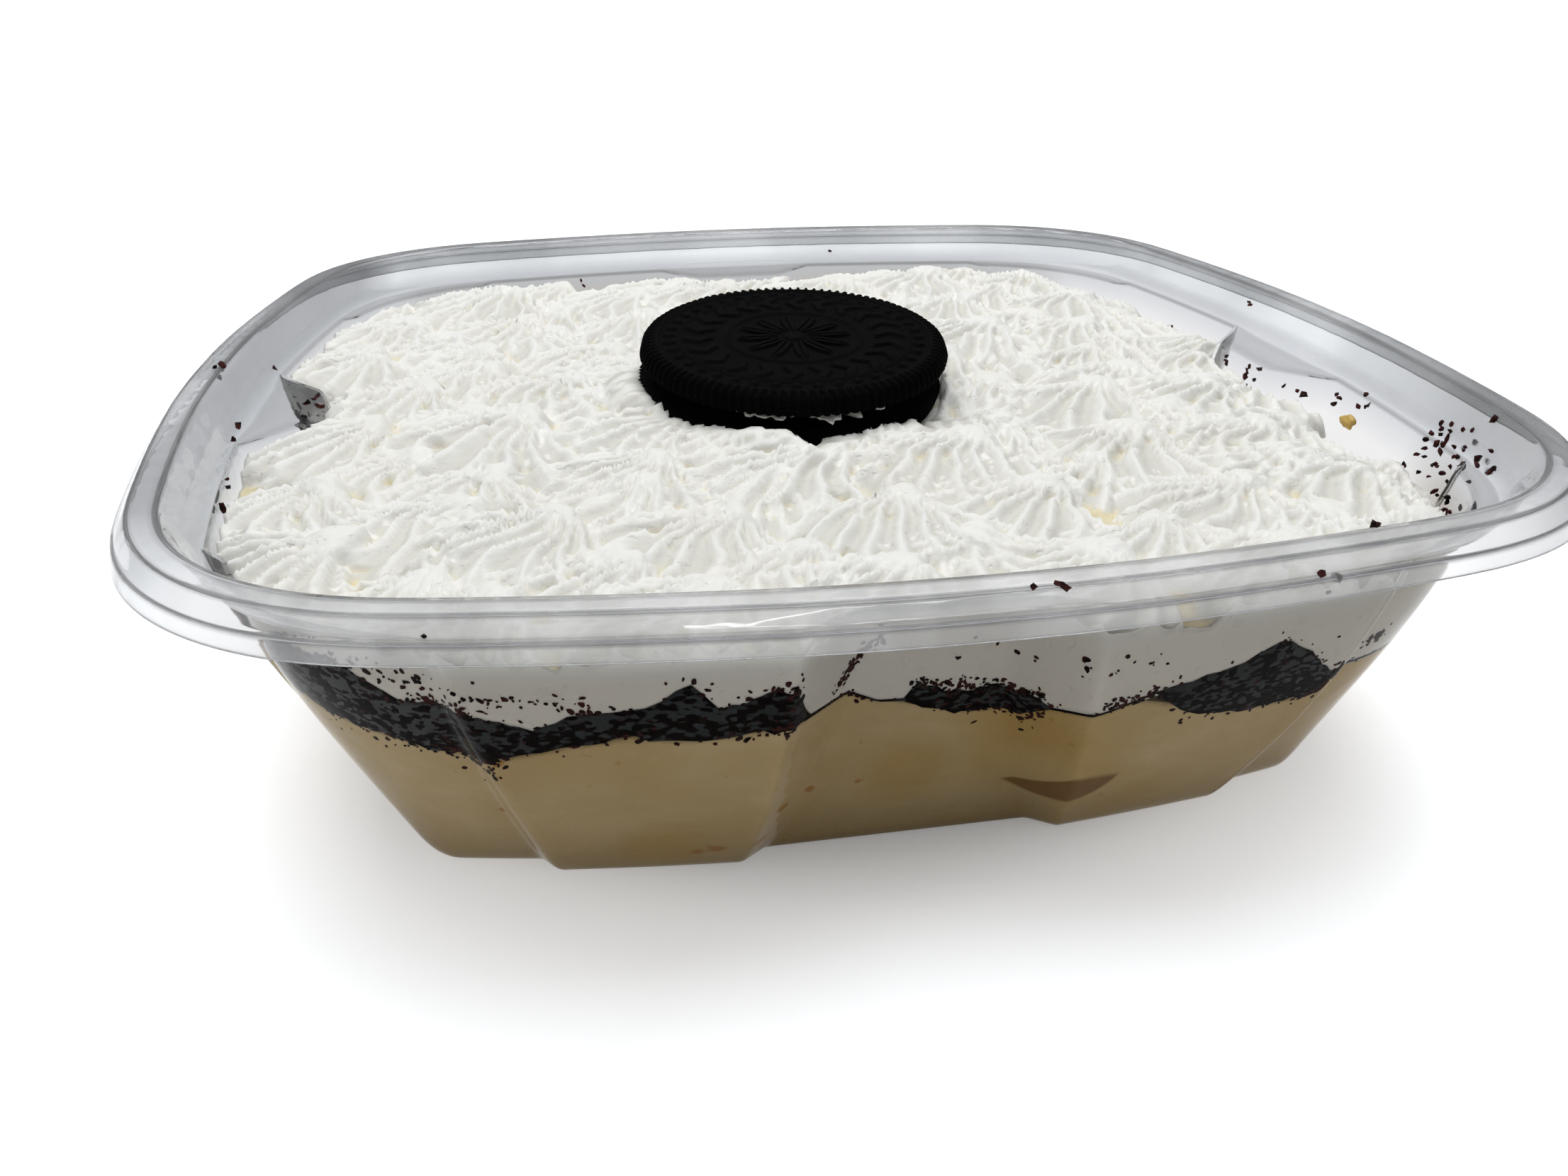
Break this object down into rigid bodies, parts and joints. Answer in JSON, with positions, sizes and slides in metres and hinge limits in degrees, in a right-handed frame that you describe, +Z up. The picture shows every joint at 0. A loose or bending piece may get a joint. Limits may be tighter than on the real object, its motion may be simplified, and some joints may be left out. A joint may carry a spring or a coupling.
{
  "type": "cookies and cream tres leches cup",
  "caption": "Clear square deli tub filled with soaked sponge cake, dark crumb and piped whipped cream, topped with a round sandwich biscuit.",
  "frame": {"origin": "middle of the tub's flat base, on the surface it stands on", "axes": "+Z up; -Y towards the front side that the picture looks at; +X to the right of that view, the way the rows of piped cream run"},
  "size_m": [0.1732, 0.1732, 0.048],
  "materials": {
    "clear_plastic": "clear thermoformed sheet, glossy",
    "cake": "moist milk-soaked sponge",
    "dark_crumb": "crushed dark cocoa biscuit",
    "cream": "piped whipped cream, soft satin",
    "dark_biscuit": "baked dark cocoa wafer with fine relief",
    "biscuit_cream": "firm sugar filling"
  },
  "bodies": {
    "root": {"tub": "clear_plastic", "sponge_cake": "cake", "crumb_layer": "dark_crumb", "whipped_cream": "cream", "biscuit_upper_wafer": "dark_biscuit", "biscuit_filling": "biscuit_cream", "biscuit_lower_wafer": "dark_biscuit"}
  },
  "joints": []
}
